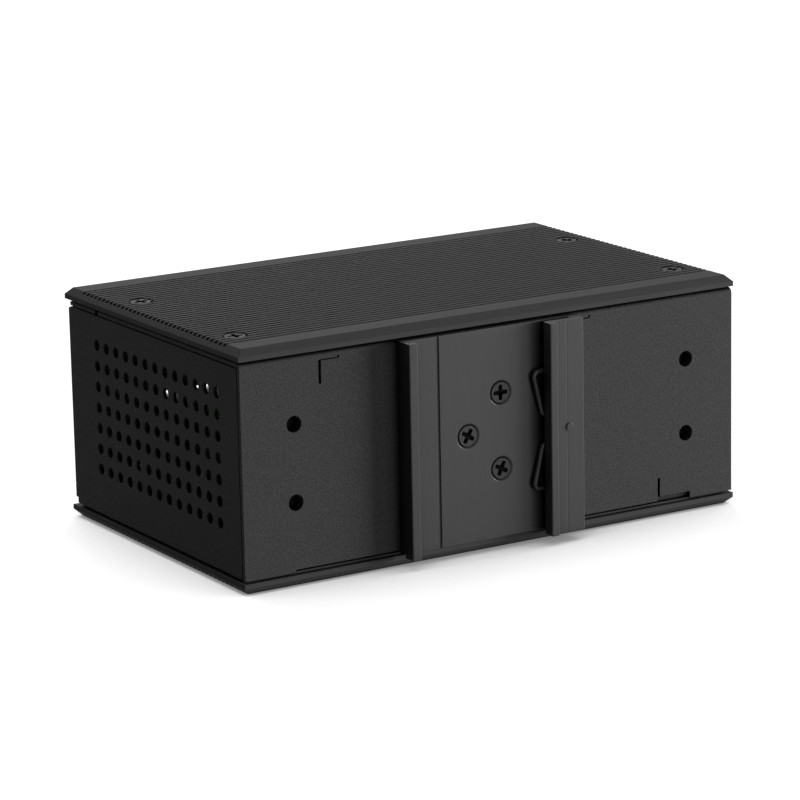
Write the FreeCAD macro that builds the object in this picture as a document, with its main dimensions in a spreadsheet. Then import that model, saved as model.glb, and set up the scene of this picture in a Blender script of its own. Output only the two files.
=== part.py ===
# Rail-mounted industrial media converter: two ribbed covers, two folded sheets, a rail clip and the
# electronics between them. Millimetres, +Z up, +X along the length, the clip on the -Y side and the
# ports on the +Y side. The origin is the centre of the bottom cover's outer face.
import FreeCAD, Part
import math
import os
import re
import Sketcher

# Driving dimensions, in millimetres unless a name says count
sizes = {
    # covers: plates with a bevel all round, ribs along the length
    "cover_length": 120.0,
    "cover_depth": 75.0,
    "case_height": 50.0,
    "cover_thick": 2.75,
    "cover_bevel": 1.4,
    "rim_rebate": 0.35,
    "rim_width": 1.5,
    "cover_overhang": 0.25,
    "rib_count": 35,
    "rib_pitch": 1.73,
    "rib_gap": 0.8,
    "rib_depth": 0.6,
    "cover_screw_end": 6.6,
    "cover_screw_rear": 12.9,
    "cover_screw_pitch": 40.0,
    # countersunk screws and press nuts
    "screw_head": 5.1,
    "screw_shank": 3.0,
    "screw_length": 6.0,
    "screw_play": 0.2,
    "seat_gap": 0.03,
    "screw_sink": 0.12,
    "drive_span": 3.0,
    "drive_slot": 0.75,
    "drive_depth": 0.9,
    "nut_outside": 6.0,
    "nut_tall": 2.2,
    "nut_cap": 0.6,
    "thread_gap": 0.05,
    # folded sheets
    "sheet_thick": 0.8,
    "bend_radius": 1.2,
    "seam_gap": 0.3,
    "corner_relief": 1.8,
    "corner_rise": 1.6,
    "flange_past_screw": 7.35,
    "flange_split": 1.3,
    "side_rise": 0.4,
    "wall_rise": 0.2,
    "floor_lip": 7.0,
    "relief_left": 11.9,
    "relief_right": 11.2,
    "relief_rise": 0.75,
    "tab_slot_wide": 0.6,
    "tab_slot_drop": 9.2,
    "tab_top_drop": 4.3,
    "tab_slit": 0.22,
    "tab_notch": 0.4,
    "tab_length": 4.8,
    "tab_left": 18.2,
    "tab_right": 78.6,
    "foot_slot": 100.4,
    "foot_slot_top": 8.5,
    "foot_step": 0.9,
    "wall_hole": 3.4,
    "wall_hole_end": 12.3,
    "wall_hole_rise": 16.1,
    "rear_lift": 0.38,
    # vents in both sides
    "vent_size": 2.4,
    "vent_pitch": 4.3,
    "vent_row_pitch": 4.46,
    "vent_columns_count": 13,
    "vent_rows_count": 7,
    "vent_rear": 9.7,
    "vent_low": 13.0,
    # rail clip, distances from the cover's left end, reach measured out of the rear wall
    "clip_left": 36.4,
    "clip_width": 42.0,
    "clip_low": 2.2,
    "clip_drop": 2.85,
    "plate_thick": 2.0,
    "rail_slot": 1.3,
    "left_hook_wall": 1.1,
    "left_hook_wide": 2.0,
    "left_hook_reach": 5.0,
    "right_hook_wall": 2.1,
    "right_hook_wide": 8.85,
    "right_hook_reach": 5.0,
    "hook_tooth_wide": 1.8,
    "hook_tooth_reach": 6.1,
    "plate_groove_from": 8.15,
    "plate_groove_wide": 0.65,
    "plate_groove_deep": 0.3,
    "hook_line_from": 4.5,
    "hook_line_wide": 0.3,
    "hook_line_deep": 0.06,
    "clip_round": 0.25,
    "stake_size": 1.6,
    "stake_rise": 0.3,
    "stake_root": 0.5,
    "stake_from": 5.15,
    "stake_drop": 0.7,
    "clip_screw_from": 15.5,
    "clip_screw_step": 8.0,
    "clip_screw_rise": 8.0,
    # wire spring in the right hook
    "wire_size": 1.1,
    "spring_reach": 2.85,
    "spring_inset": 4.6,
    "spring_drop": 1.0,
    "spring_loop_low": 3.2,
    "spring_loop_high": 12.35,
    "spring_tail": 4.0,
    "spring_bend": 1.1,
    # circuit board and what holds it
    "board_end": 4.0,
    "board_edge": 3.5,
    "board_thick": 1.6,
    "standoff_tall": 5.0,
    "standoff_size": 6.0,
    "board_hole_end": 9.0,
    "board_hole_edge": 5.0,
    "pan_head": 5.4,
    "pan_tall": 1.8,
    "board_screw_length": 5.0,
    # copper port
    "copper_end": 40.0,
    "copper_width": 15.9,
    "copper_tall": 13.4,
    "copper_depth": 21.0,
    "stamped_thick": 0.3,
    "plug_width": 11.8,
    "plug_tall": 6.8,
    "plug_depth": 13.0,
    "plug_rise": 2.6,
    "latch_width": 6.2,
    "latch_tall": 1.6,
    "contact_count": 8,
    "contact_pitch": 1.02,
    "contact_wide": 0.4,
    "contact_tall": 0.5,
    "contact_length": 8.0,
    # fibre port
    "fibre_end": 23.1,
    "fibre_width": 14.3,
    "fibre_tall": 9.8,
    "fibre_depth": 48.0,
    "fibre_connector_length": 9.0,
    "fibre_connector_width": 11.4,
    "fibre_connector_tall": 5.4,
    "fibre_slot_tall": 1.3,
    "fibre_slot_deep": 4.0,
    "panel_gap": 0.3,
    "port_proud": 0.15,
    # terminals
    "terminal_from": 38.05,
    "pole_count": 6,
    "pole_pitch": 5.08,
    "terminal_end": 1.0,
    "terminal_depth": 15.0,
    "terminal_tall": 13.35,
    "terminal_proud": 0.5,
    "terminal_gap": 0.9,
    "wire_mouth": 3.6,
    "wire_mouth_rise": 1.4,
    "wire_mouth_deep": 9.0,
    "clamp_wall": 0.4,
    "clamp_length": 5.0,
    "driver_hole": 3.4,
    "driver_rise": 8.9,
    "driver_deep": 6.0,
    "terminal_screw_tall": 2.0,
    "terminal_slot": 0.6,
    # status lights
    "light_count": 4,
    "light_pitch": 3.6,
    "light_size": 2.4,
    "light_rise": 3.0,
    "light_proud": 0.6,
    "light_block_wide": 4.0,
    "light_block_deep": 4.0,
    "light_block_back": 5.0,
    "light_chip_long": 1.6,
    "light_chip_deep": 0.9,
    "light_chip_tall": 0.7,
    "light_chip_pitch": 1.5,
    # ground screw
    "ground_from": 8.5,
    "ground_shank": 4.0,
    "ground_head": 7.4,
    "ground_head_tall": 2.4,
    "ground_length": 8.0,
    "washer_outside": 9.0,
    "washer_thick": 0.8,
    "ground_nut_tall": 3.2,
    # parts on the board, from its left edge where a name says from, from its right edge where it says
    # end, and from its front edge, where the ports are, where it says front
    "chip_end": 46.0,
    "chip_front": 38.0,
    "chip_size": 14.0,
    "chip_tall": 1.2,
    "sink_size": 18.0,
    "sink_base": 2.0,
    "sink_tall": 9.0,
    "sink_fin": 1.0,
    "sink_fin_count": 6,
    "transformer_end": 68.0,
    "transformer_front": 22.0,
    "transformer_width": 12.7,
    "transformer_depth": 9.5,
    "transformer_tall": 5.7,
    "inductor_from": 40.0,
    "inductor_front": 44.0,
    "inductor_size": 12.0,
    "inductor_tall": 6.5,
    "inductor_corner": 2.5,
    "capacitor_from": 14.0,
    "capacitor_front": 32.0,
    "capacitor_size": 8.0,
    "capacitor_tall": 11.5,
    "capacitor_pitch": 9.5,
    "capacitor_count": 3,
    "crystal_end": 64.0,
    "crystal_front": 28.0,
    "crystal_length": 11.4,
    "crystal_width": 4.7,
    "crystal_tall": 3.5,
    "fuse_from": 14.0,
    "fuse_front": 46.0,
    "fuse_length": 10.0,
    "fuse_width": 3.4,
    "fuse_tall": 3.0,
}

doc = FreeCAD.newDocument("media_converter")
sheet = doc.addObject("Spreadsheet::Sheet", "Sizes")
for row, (alias, amount) in enumerate(sizes.items(), start=1):
    sheet.set("A%d" % row, str(amount))
    sheet.setAlias("A%d" % row, alias)
doc.recompute()

# Places that several pieces share, written in terms of the sizes
half_length = "(cover_length / 2)"
left_end = "(-cover_length / 2)"
side_face = "(cover_length / 2 - cover_overhang)"
front_face = "(cover_depth / 2 - cover_overhang)"
rear_face = "(cover_overhang - cover_depth / 2)"
rear_inner = "(cover_overhang - cover_depth / 2 + sheet_thick)"
sheet_top = "(case_height - cover_thick)"
ceiling = "(case_height - cover_thick - sheet_thick)"
flange_end = "(cover_screw_rear + cover_screw_pitch + flange_past_screw - cover_depth / 2)"
floor_top = "(cover_thick + sheet_thick)"
side_low = "(cover_thick + side_rise)"
side_high = "(case_height - cover_thick - sheet_thick - seam_gap)"
wall_low = "(cover_thick + wall_rise)"
board_low = "(cover_thick + sheet_thick + standoff_tall)"
board_top = "(cover_thick + sheet_thick + standoff_tall + board_thick)"
rear_middle = "(case_height / 2 + rear_lift)"
board_right = "(cover_length / 2 - board_end)"
board_front = "(cover_depth / 2 - board_edge)"
clip_left_x = "(clip_left - cover_length / 2)"
clip_right_x = "(clip_left + clip_width - cover_length / 2)"
plate_face = "(cover_overhang - cover_depth / 2 - plate_thick)"
lip_back = "(cover_overhang - cover_depth / 2 - plate_thick - rail_slot)"
left_lip_x = "(clip_left + left_hook_wide - cover_length / 2)"
right_lip_x = "(clip_left + clip_width - right_hook_wide - cover_length / 2)"
port_face = "(cover_depth / 2 - cover_overhang + port_proud)"
copper_x = "(cover_length / 2 - copper_end)"
fibre_x = "(cover_length / 2 - fibre_end)"
terminal_x = "(terminal_from - cover_length / 2)"
poles_width = "(pole_count * pole_pitch + 2 * terminal_end)"
light_x = "((%s + %s / 2 + %s - copper_width / 2) / 2)" % (terminal_x, poles_width, copper_x)
light_low = "(cover_thick + sheet_thick + standoff_tall + board_thick + light_rise)"
inner_radius = "(bend_radius - sheet_thick)"
hole_size = "(screw_shank + 2 * screw_play)"
bore_size = "(screw_shank + 2 * thread_gap)"
sunk_width = "(screw_head + 2 * seat_gap + 2 * screw_sink)"

nodes = []


# Text of a formula with each size written as a cell of the sheet
def formula(text):
    def cell(word):
        name = word.group(0)
        return "Sizes." + name if name in sizes else name

    return re.sub(r"[a-z]\w*", cell, text)


def number(text):
    return float(sheet.evalExpression(formula(text)))


def bind(thing, name, text):
    thing.setExpression(name, formula(text))


def body_named(label):
    body = doc.addObject("PartDesign::Body", label)
    nodes.append(body)
    return body


# Sketch on one of the body's own planes: XY looks down, XZ looks along +Y, YZ looks along -X
def sketch_on(body, name, plane, height="0"):
    flat = next(feature for feature in body.Origin.OriginFeatures if feature.Role == plane)
    drawing = body.newObject("Sketcher::SketchObject", name)
    drawing.AttachmentSupport = (flat, [""])
    drawing.MapMode = "FlatFace"
    bind(drawing, "AttachmentOffset.Base.z", height)
    return drawing


# Fixes one point of a sketch at a place given by two formulas
def fix_point(drawing, shape, point, x, y):
    for kind, text in (("DistanceX", x), ("DistanceY", y)):
        index = drawing.addConstraint(Sketcher.Constraint(kind, -1, 1, shape, point, number(text)))
        bind(drawing, "Constraints[%d]" % index, text)


def draw_polygon(drawing, corners):
    spots = [FreeCAD.Vector(number(x), number(y), 0) for x, y in corners]
    first = drawing.GeometryCount
    drawing.addGeometry([Part.LineSegment(a, b) for a, b in zip(spots, spots[1:] + spots[:1])])
    for step in range(len(corners)):
        after = first + (step + 1) % len(corners)
        drawing.addConstraint(Sketcher.Constraint("Coincident", first + step, 2, after, 1))
    for step, (x, y) in enumerate(corners):
        fix_point(drawing, first + step, 1, x, y)


def draw_rectangle(drawing, x_low, y_low, x_high, y_high):
    draw_polygon(drawing, [(x_low, y_low), (x_high, y_low), (x_high, y_high), (x_low, y_high)])


# Rectangle about a middle
def draw_centred(drawing, x, y, width, height):
    half_x = "(%s) / 2" % width
    half_y = "(%s) / 2" % height
    draw_rectangle(drawing, "%s - %s" % (x, half_x), "%s - %s" % (y, half_y), "%s + %s" % (x, half_x),
                   "%s + %s" % (y, half_y))


def draw_circle(drawing, x, y, diameter):
    middle = FreeCAD.Vector(number(x), number(y), 0)
    shape = drawing.addGeometry(Part.Circle(middle, FreeCAD.Vector(0, 0, 1), number(diameter) / 2))
    fix_point(drawing, shape, 3, x, y)
    index = drawing.addConstraint(Sketcher.Constraint("Diameter", shape, number(diameter)))
    bind(drawing, "Constraints[%d]" % index, diameter)


# Plus sign for a cross recess, twelve corners about a centre
def draw_cross(drawing, x, y, span, width):
    far = "(%s) / 2" % span
    near = "(%s) / 2" % width
    turns = [(near, far), (near, near), (far, near)]
    turns += [(far, "-" + near), (near, "-" + near), (near, "-" + far)]
    turns += [("-" + near, "-" + far), ("-" + near, "-" + near), ("-" + far, "-" + near)]
    turns += [("-" + far, near), ("-" + near, near), ("-" + near, far)]
    draw_polygon(drawing, [("%s + %s" % (x, dx), "%s + %s" % (y, dy)) for dx, dy in turns])


def pad(body, drawing, name, length, taper=0.0, back=False):
    feature = body.newObject("PartDesign::Pad", name)
    feature.Profile = drawing
    bind(feature, "Length", length)
    feature.TaperAngle = taper
    feature.Reversed = back
    return feature


# Cut against the sketch's normal, or along it; through everything when no depth is given
def pocket(body, drawing, name, depth=None, along=False):
    feature = body.newObject("PartDesign::Pocket", name)
    feature.Profile = drawing
    feature.Reversed = along
    if depth is None:
        feature.Type = "ThroughAll"
    else:
        bind(feature, "Length", depth)
    return feature


def countersunk_holes(body, drawing, name):
    doc.recompute()
    feature = body.newObject("PartDesign::Hole", name)
    feature.Profile = drawing
    feature.DepthType = "ThroughAll"
    bind(feature, "Diameter", hole_size)
    feature.HoleCutType = "Countersink"
    feature.HoleCutCustomValues = True
    bind(feature, "HoleCutDiameter", sunk_width)
    feature.HoleCutCountersinkAngle = 90
    return feature


# Copies of a feature along a sketch axis, and along its other axis when a second row is given
def repeat(body, source, name, count, pitch, rows=None, row_pitch=None):
    feature = body.newObject("PartDesign::MultiTransform", name)
    feature.Originals = [source]
    runs = [("across", "H_Axis", count, pitch)]
    if rows:
        runs.append(("up", "V_Axis", rows, row_pitch))
    steps = []
    for suffix, axis, times, spacing in runs:
        step = doc.addObject("PartDesign::LinearPattern", "%s_%s" % (name, suffix))
        step.Direction = (source.Profile[0], [axis])
        step.Mode = "Spacing"
        bind(step, "Offset", spacing)
        bind(step, "Occurrences", times)
        body.addObject(step)
        steps.append(step)
    feature.Transformations = steps
    body.Tip = feature
    return feature


# Names of the straight edges of the body so far that run along an axis through a given place
def edges_along(body, axis, places):
    doc.recompute()
    names = []
    others = [other for other in "xyz" if other != axis]
    for index, edge in enumerate(body.Tip.Shape.Edges, start=1):
        ends = [vertex.Point for vertex in edge.Vertexes]
        if len(ends) != 2:
            continue
        for place in places:
            goal = [number(text) for text in place]
            gaps = [abs(getattr(end, other) - aim) for end in ends for other, aim in zip(others, goal)]
            if max(gaps) < 1e-5:
                names.append("Edge%d" % index)
    return names


def round_edges(body, name, radius, edges):
    base = body.Tip
    feature = body.newObject("PartDesign::Fillet", name)
    feature.Base = (base, edges)
    bind(feature, "Radius", radius)
    return feature


# Plain block placed by its low corner
def block(label, corner, lengths):
    solid = doc.addObject("Part::Box", label)
    for name, text in zip(("Length", "Width", "Height"), lengths):
        bind(solid, name, text)
    for axis, text in zip("xyz", corner):
        bind(solid, "Placement.Base." + axis, text)
    nodes.append(solid)
    return solid


# Ribbed cover with its outer face at height zero, looking up
def build_cover(label):
    body = body_named(label)
    plate = sketch_on(body, label + "_outline", "XY_Plane", "-cover_thick")
    draw_rectangle(plate, left_end, "-cover_depth / 2", half_length, "cover_depth / 2")
    pad(body, plate, label + "_plate", "cover_thick")
    rim = edges_along(body, "x", [("-cover_depth / 2", "0"), ("cover_depth / 2", "0")])
    rim += edges_along(body, "y", [(left_end, "0"), (half_length, "0")])
    bevel = body.newObject("PartDesign::Chamfer", label + "_bevel")
    bevel.Base = (body.getObject(label + "_plate"), rim)
    bind(bevel, "Size", "cover_bevel")
    # the rim stands clear of the sheets all round, which leaves a dark seam under the cover
    rebate = sketch_on(body, label + "_rebate", "XY_Plane", "-cover_thick")
    draw_rectangle(rebate, left_end + " - rim_width", "-cover_depth / 2 - rim_width",
                   half_length + " + rim_width", "cover_depth / 2 + rim_width")
    draw_rectangle(rebate, left_end + " + rim_width", "-cover_depth / 2 + rim_width",
                   half_length + " - rim_width", "cover_depth / 2 - rim_width")
    pocket(body, rebate, label + "_rebate_cut", "rim_rebate", along=True)
    first_groove = "(-rib_count * rib_pitch / 2)"
    groove = sketch_on(body, label + "_groove", "YZ_Plane", half_length)
    draw_rectangle(groove, first_groove + " - rib_gap / 2", "-rib_depth",
                   first_groove + " + rib_gap / 2", "rib_depth")
    cut_groove = pocket(body, groove, label + "_groove_cut")
    repeat(body, cut_groove, label + "_ribs", "rib_count + 1", "rib_pitch")
    holes = sketch_on(body, label + "_holes", "XY_Plane")
    for x, y in cover_screw_spots():
        draw_circle(holes, x, y, hole_size)
    countersunk_holes(body, holes, label + "_screw_holes")
    return body


def cover_screw_spots():
    rear = "(cover_screw_rear - cover_depth / 2)"
    ahead = "(cover_screw_rear + cover_screw_pitch - cover_depth / 2)"
    ends = ("(cover_screw_end - cover_length / 2)", "(cover_length / 2 - cover_screw_end)")
    return [(x, y) for x in ends for y in (rear, ahead)]


def clip_screw_spots():
    single = "(clip_left + clip_screw_from - cover_length / 2)"
    pair = "(clip_left + clip_screw_from + clip_screw_step - cover_length / 2)"
    above = "(%s + clip_screw_rise)" % rear_middle
    below = "(%s - clip_screw_rise)" % rear_middle
    return [(single, rear_middle), (pair, above), (pair, below)]


def wall_hole_spots():
    ends = ("(wall_hole_end - cover_length / 2)", "(cover_length / 2 - wall_hole_end)")
    heights = ["(%s %s wall_hole_rise / 2)" % (rear_middle, sign) for sign in "-+"]
    return [(x, z) for x in ends for z in heights]


def board_hole_spots():
    across = "(%s - board_hole_end)" % board_right
    ahead = "(%s - board_hole_edge)" % board_front
    return [(x, y) for x in ("-" + across, across) for y in ("-" + ahead, ahead)]


# Countersunk screws in one group: heads a little below the face, shanks behind them
def build_sunk_screws(label, plane, face, spots):
    body = body_named(label)
    face += " - screw_sink"
    sink = "((screw_head - screw_shank) / 2)"
    shanks = sketch_on(body, label + "_shanks", plane, face + " - screw_length")
    heads = sketch_on(body, label + "_heads", plane, face + " - " + sink)
    drives = sketch_on(body, label + "_drives", plane, face)
    for x, y in spots:
        draw_circle(shanks, x, y, "screw_shank")
        draw_circle(heads, x, y, "screw_shank")
        draw_cross(drives, x, y, "drive_span", "drive_slot")
    pad(body, shanks, label + "_shank", "screw_length - %s" % sink)
    pad(body, heads, label + "_head", sink, taper=45.0)
    pocket(body, drives, label + "_drive", "drive_depth")
    return body


# Rings in one group, seated on a plane and growing along its normal or back against it
def build_rings(label, plane, face, spots, outside, bore, tall, back):
    body = body_named(label)
    rings = sketch_on(body, label + "_rings", plane, face)
    for x, y in spots:
        draw_circle(rings, x, y, outside)
        draw_circle(rings, x, y, bore)
    pad(body, rings, label + "_solid", tall, back=back)
    return body


def build_press_nuts(label, plane, face, spots, bore, back):
    return build_rings(label, plane, face, spots, "nut_outside", bore, "nut_tall", back)


# The nuts behind the open holes of the rear wall are closed at their inner end, so no dust gets in
def build_wall_nuts(label, face):
    nuts = build_press_nuts(label, "XZ_Plane", face, wall_hole_spots(), "wall_hole", True)
    caps = sketch_on(nuts, label + "_caps", "XZ_Plane", face + " - nut_tall")
    for x, z in wall_hole_spots():
        draw_circle(caps, x, z, "nut_outside")
    pad(nuts, caps, label + "_closed", "nut_cap", back=True)


def build_rear_chassis():
    label = "rear_chassis"
    body = body_named(label)
    fold = sketch_on(body, label + "_fold", "YZ_Plane", "-" + side_face)
    draw_polygon(fold, [(rear_face, wall_low), (rear_face, sheet_top), (flange_end, sheet_top),
                        (flange_end, ceiling), (rear_inner, ceiling), (rear_inner, wall_low)])
    pad(body, fold, label + "_sheet", "2 * " + side_face)
    outer = edges_along(body, "x", [(rear_face, sheet_top)])
    round_edges(body, label + "_bend", "bend_radius", outer)
    inner = edges_along(body, "x", [(rear_inner, ceiling)])
    round_edges(body, label + "_bend_inside", inner_radius, inner)

    slots = sketch_on(body, label + "_slots", "XZ_Plane")
    relief_top = "(cover_thick + relief_rise)"
    relief_start = "(relief_left - cover_length / 2)"
    relief_end = "(cover_length / 2 - relief_right)"
    under = "(cover_thick - wall_rise)"
    step_top = "(cover_thick + relief_rise + foot_step)"
    foot = "(foot_slot - cover_length / 2)"
    foot_end = "(foot_slot + tab_slot_wide - cover_length / 2)"
    draw_polygon(slots, [(relief_start, under), (relief_end, under), (relief_end, step_top),
                         (foot_end, step_top), (foot_end, "foot_slot_top"), (foot, "foot_slot_top"),
                         (foot, relief_top), (relief_start, relief_top)])
    for start in ("tab_left", "tab_right"):
        begin = "(%s - cover_length / 2)" % start
        end = "(%s + tab_length - cover_length / 2)" % start
        tab_low = "(case_height - tab_slot_drop)"
        tab_top = "(case_height - tab_top_drop)"
        slit = "(%s - tab_slit)" % tab_top
        notch_top = "(%s + tab_notch)" % tab_top
        draw_polygon(slots, [(begin, tab_low), (begin + " + tab_slot_wide", tab_low),
                             (begin + " + tab_slot_wide", slit), (end, slit), (end, notch_top),
                             (end + " - tab_notch", notch_top), (end + " - tab_notch", tab_top),
                             (begin, tab_top)])
    pocket(body, slots, label + "_slot_cut", along=True)

    holes = sketch_on(body, label + "_holes", "XZ_Plane")
    for x, z in wall_hole_spots():
        draw_circle(holes, x, z, "wall_hole")
    for x, z in clip_screw_spots():
        draw_circle(holes, x, z, hole_size)
    pocket(body, holes, label + "_hole_cut", along=True)
    flange_holes = sketch_on(body, label + "_flange_holes", "XY_Plane")
    for x, y in cover_screw_spots():
        draw_circle(flange_holes, x, y, hole_size)
    pocket(body, flange_holes, label + "_flange_hole_cut", along=True)
    return body


def build_front_chassis():
    label = "front_chassis"
    body = body_named(label)
    side_rear = "(%s + seam_gap)" % rear_inner
    front_inner = "(%s - sheet_thick)" % front_face
    side_inner = "(%s - sheet_thick)" % side_face
    corner_low = "(cover_thick + corner_rise)"
    corner_high = "(%s - corner_rise)" % sheet_top
    walls = sketch_on(body, label + "_walls", "XY_Plane", corner_low)
    draw_polygon(walls, [("-" + side_face, side_rear), ("-" + side_face, front_face),
                         (side_face, front_face), (side_face, side_rear),
                         (side_inner, side_rear), (side_inner, front_inner),
                         ("-" + side_inner, front_inner), ("-" + side_inner, side_rear)])
    pad(body, walls, label + "_wall_sheet", "%s - %s" % (corner_high, corner_low))
    upright = [("-" + side_face, front_face), (side_face, front_face)]
    round_edges(body, label + "_corner", "bend_radius", edges_along(body, "z", upright))
    upright = [("-" + side_inner, front_inner), (side_inner, front_inner)]
    round_edges(body, label + "_corner_inside", inner_radius, edges_along(body, "z", upright))
    side_front = "(%s - corner_relief)" % front_face
    sides = sketch_on(body, label + "_sides", "XY_Plane", side_low)
    draw_rectangle(sides, "-" + side_face, side_rear, "-" + side_inner, side_front)
    draw_rectangle(sides, side_inner, side_rear, side_face, side_front)
    pad(body, sides, label + "_side_sheet", "%s - %s" % (side_high, side_low))

    # front wall folded back at the top and at the floor, clear of the upright corners
    fold_end = "(%s - corner_relief)" % side_face
    folds = sketch_on(body, label + "_folds", "YZ_Plane", "-" + fold_end)
    flange_rear = "(%s + flange_split)" % flange_end
    lip_high = "(cover_thick + floor_lip)"
    lip_inner = "(%s + sheet_thick)" % rear_inner
    draw_polygon(folds, [(flange_rear, sheet_top), (front_face, sheet_top), (front_face, "cover_thick"),
                         (rear_inner, "cover_thick"), (rear_inner, lip_high), (lip_inner, lip_high),
                         (lip_inner, floor_top), (front_inner, floor_top), (front_inner, ceiling),
                         (flange_rear, ceiling)])
    pad(body, folds, label + "_fold_sheet", "2 * " + fold_end)
    places = [(front_face, sheet_top), (front_face, "cover_thick"), (rear_inner, "cover_thick")]
    round_edges(body, label + "_bends", "bend_radius", edges_along(body, "x", places))
    places = [(front_inner, ceiling), (front_inner, floor_top), (lip_inner, floor_top)]
    round_edges(body, label + "_bends_inside", inner_radius, edges_along(body, "x", places))

    # the front flange reaches out over the sides, behind the corner reliefs
    wings = sketch_on(body, label + "_wings", "XY_Plane", ceiling)
    draw_rectangle(wings, "-" + side_face, flange_rear, side_face, side_front)
    pad(body, wings, label + "_wing_sheet", "sheet_thick")

    vent = sketch_on(body, label + "_vent", "YZ_Plane", "cover_length / 2")
    draw_circle(vent, "vent_rear - cover_depth / 2", "vent_low", "vent_size")
    vent_cut = pocket(body, vent, label + "_vent_cut")
    repeat(body, vent_cut, label + "_vents", "vent_columns_count", "vent_pitch",
           "vent_rows_count", "vent_row_pitch")

    ports = sketch_on(body, label + "_ports", "XZ_Plane")
    port_window(ports, copper_x, "copper_width", "copper_tall", "panel_gap")
    port_window(ports, fibre_x, "fibre_width", "fibre_tall", "panel_gap")
    port_window(ports, terminal_x, poles_width, "terminal_tall", "terminal_gap")
    for step in range(int(number("light_count"))):
        light_z = "%s + %d * light_pitch" % (light_low, step)
        draw_circle(ports, light_x, light_z, "light_size + 2 * screw_play")
    draw_circle(ports, "ground_from - cover_length / 2", "case_height / 2", "ground_shank + 2 * screw_play")
    pocket(body, ports, label + "_port_cut")

    floor_holes = sketch_on(body, label + "_floor_holes", "XY_Plane", "case_height / 2")
    for x, y in cover_screw_spots():
        draw_circle(floor_holes, x, y, hole_size)
    pocket(body, floor_holes, label + "_floor_hole_cut")
    return body


# Window in the front wall round a port that stands on the board, with its own gap above the port
def port_window(drawing, x, width, tall, gap_above):
    half = "(%s / 2 + panel_gap)" % width
    top = "%s + %s + %s" % (board_top, tall, gap_above)
    draw_rectangle(drawing, "%s - %s" % (x, half), "%s - panel_gap" % board_top, "%s + %s" % (x, half), top)


def build_rail_clip():
    label = "rail_clip"
    body = body_named(label)
    profile = sketch_on(body, label + "_profile", "XY_Plane", "clip_low")
    left_front = "(%s - left_hook_reach)" % rear_face
    right_front = "(%s - right_hook_reach)" % rear_face
    tooth_front = "(%s - hook_tooth_reach)" % rear_face
    slot_end = "(%s - right_hook_wall)" % clip_right_x
    tooth_end = "(%s + hook_tooth_wide)" % right_lip_x
    line_low = "(%s + hook_line_from)" % right_lip_x
    line_floor = "(%s + hook_line_deep)" % right_front
    groove_low = "(%s + plate_groove_from)" % clip_left_x
    groove_high = "(%s + plate_groove_from + plate_groove_wide)" % clip_left_x
    groove_floor = "(%s + plate_groove_deep)" % plate_face
    left_pocket = "(%s + left_hook_wall)" % clip_left_x
    draw_polygon(profile, [
        (clip_left_x, rear_face), (clip_left_x, left_front), (left_lip_x, left_front),
        (left_lip_x, lip_back), (left_pocket, lip_back), (left_pocket, plate_face),
        (groove_low, plate_face), (groove_low, groove_floor),
        (groove_high, groove_floor), (groove_high, plate_face),
        (slot_end, plate_face), (slot_end, lip_back), (right_lip_x, lip_back), (right_lip_x, tooth_front),
        (tooth_end, tooth_front), (tooth_end, right_front), (line_low, right_front),
        (line_low + " + hook_line_wide / 2", line_floor), (line_low + " + hook_line_wide", right_front),
        (clip_right_x, right_front), (clip_right_x, rear_face)])
    pad(body, profile, label + "_extrusion", "case_height - clip_drop - clip_low")
    corners = [(clip_left_x, left_front), (left_lip_x, left_front), (left_lip_x, lip_back),
               (right_lip_x, lip_back), (right_lip_x, tooth_front), (tooth_end, tooth_front),
               (clip_right_x, right_front)]
    round_edges(body, label + "_rounding", "clip_round", edges_along(body, "z", corners))

    # the plate's lower end is milled back over the bottom cover's edge, the hooks keep their length
    heel = sketch_on(body, label + "_heel", "XY_Plane", wall_low)
    draw_rectangle(heel, clip_left_x + " - plate_thick", plate_face, clip_right_x + " + plate_thick",
                   rear_face + " + plate_thick")
    pocket(body, heel, label + "_heel_cut")

    holes = sketch_on(body, label + "_holes", "XZ_Plane", "-" + plate_face)
    for x, z in clip_screw_spots():
        draw_circle(holes, x, z, hole_size)
    countersunk_holes(body, holes, label + "_screw_holes")

    # a pressed pin stands out of the right hook
    stake = sketch_on(body, label + "_stake", "XZ_Plane", "-%s - stake_root" % right_front)
    draw_circle(stake, right_lip_x + " + stake_from", rear_middle + " - stake_drop", "stake_size")
    pad(body, stake, label + "_stake_head", "stake_root + stake_rise")
    return body


# Path of straight runs joined by tangent arcs of one radius
def rounded_path(points, radius):
    edges = []
    start = points[0]
    for before, corner, after in zip(points, points[1:], points[2:]):
        back = (before - corner).normalize()
        ahead = (after - corner).normalize()
        half_turn = back.getAngle(ahead) / 2
        reach = radius / math.tan(half_turn)
        middle = corner + (back + ahead).normalize() * (radius / math.sin(half_turn) - radius)
        edges.append(Part.LineSegment(start, corner + back * reach).toShape())
        edges.append(Part.Arc(corner + back * reach, middle, corner + ahead * reach).toShape())
        start = corner + ahead * reach
    edges.append(Part.LineSegment(start, points[-1]).toShape())
    return Part.Wire(edges)


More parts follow.
